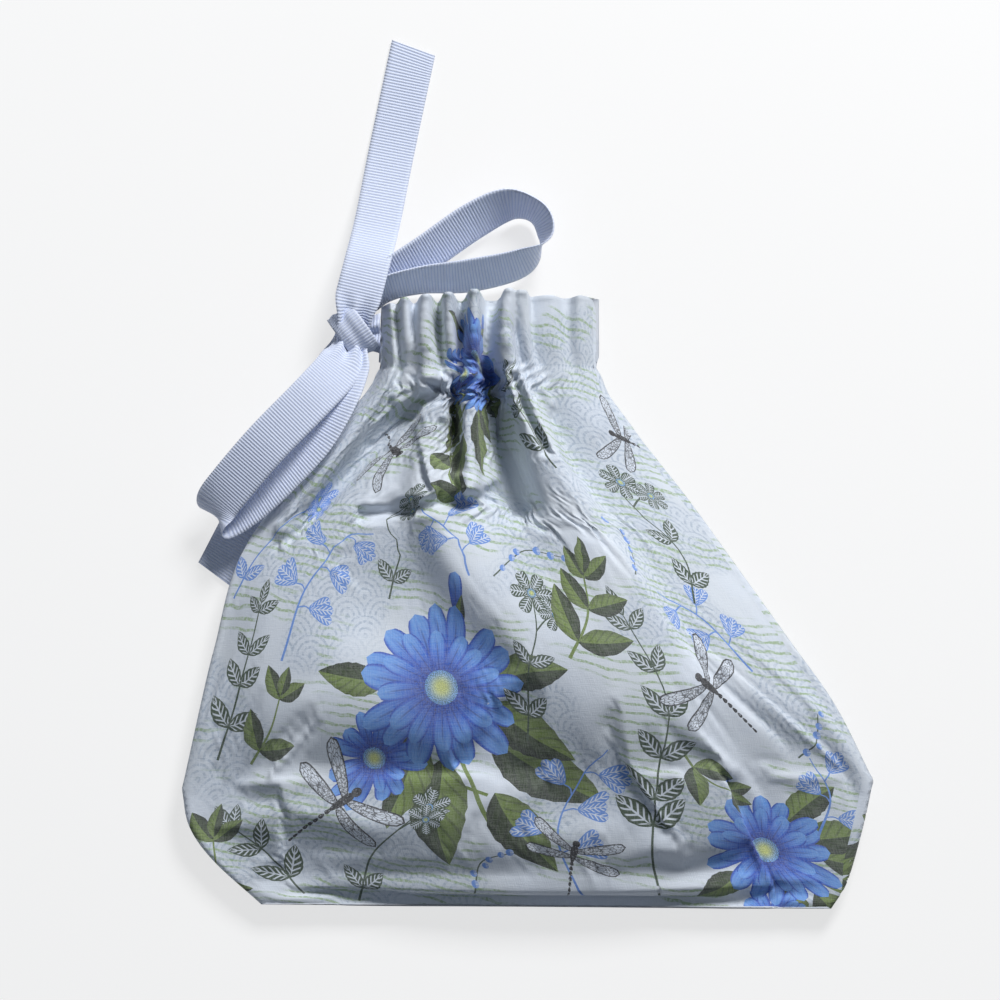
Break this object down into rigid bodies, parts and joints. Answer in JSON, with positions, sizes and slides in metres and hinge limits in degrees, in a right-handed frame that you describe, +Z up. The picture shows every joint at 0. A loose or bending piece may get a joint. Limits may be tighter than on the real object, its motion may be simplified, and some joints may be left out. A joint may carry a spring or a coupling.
{
  "type": "drawstring pouch",
  "caption": "Soft cotton kinchaku pouch with a boxed bottom, gathered at the mouth on a ribbon drawn through a casing and tied in a bow; it lies on its back.",
  "frame": {"origin": "middle of the pouch's outline on the surface it lies on, the free bow left out", "axes": "+Z up from the surface, +Y towards the mouth, +X to the right as the front panel is seen from above"},
  "size_m": [0.24, 0.3041, 0.0371],
  "materials": {
    "printed_cotton": "matte woven cotton with a blue and green botanical print",
    "grosgrain": "pale blue-white ribbed ribbon"
  },
  "bodies": {
    "root": {"front_panel": "printed_cotton", "back_panel": "printed_cotton", "ribbon_in_casing": "grosgrain", "ribbon_bow": "grosgrain"}
  },
  "joints": []
}
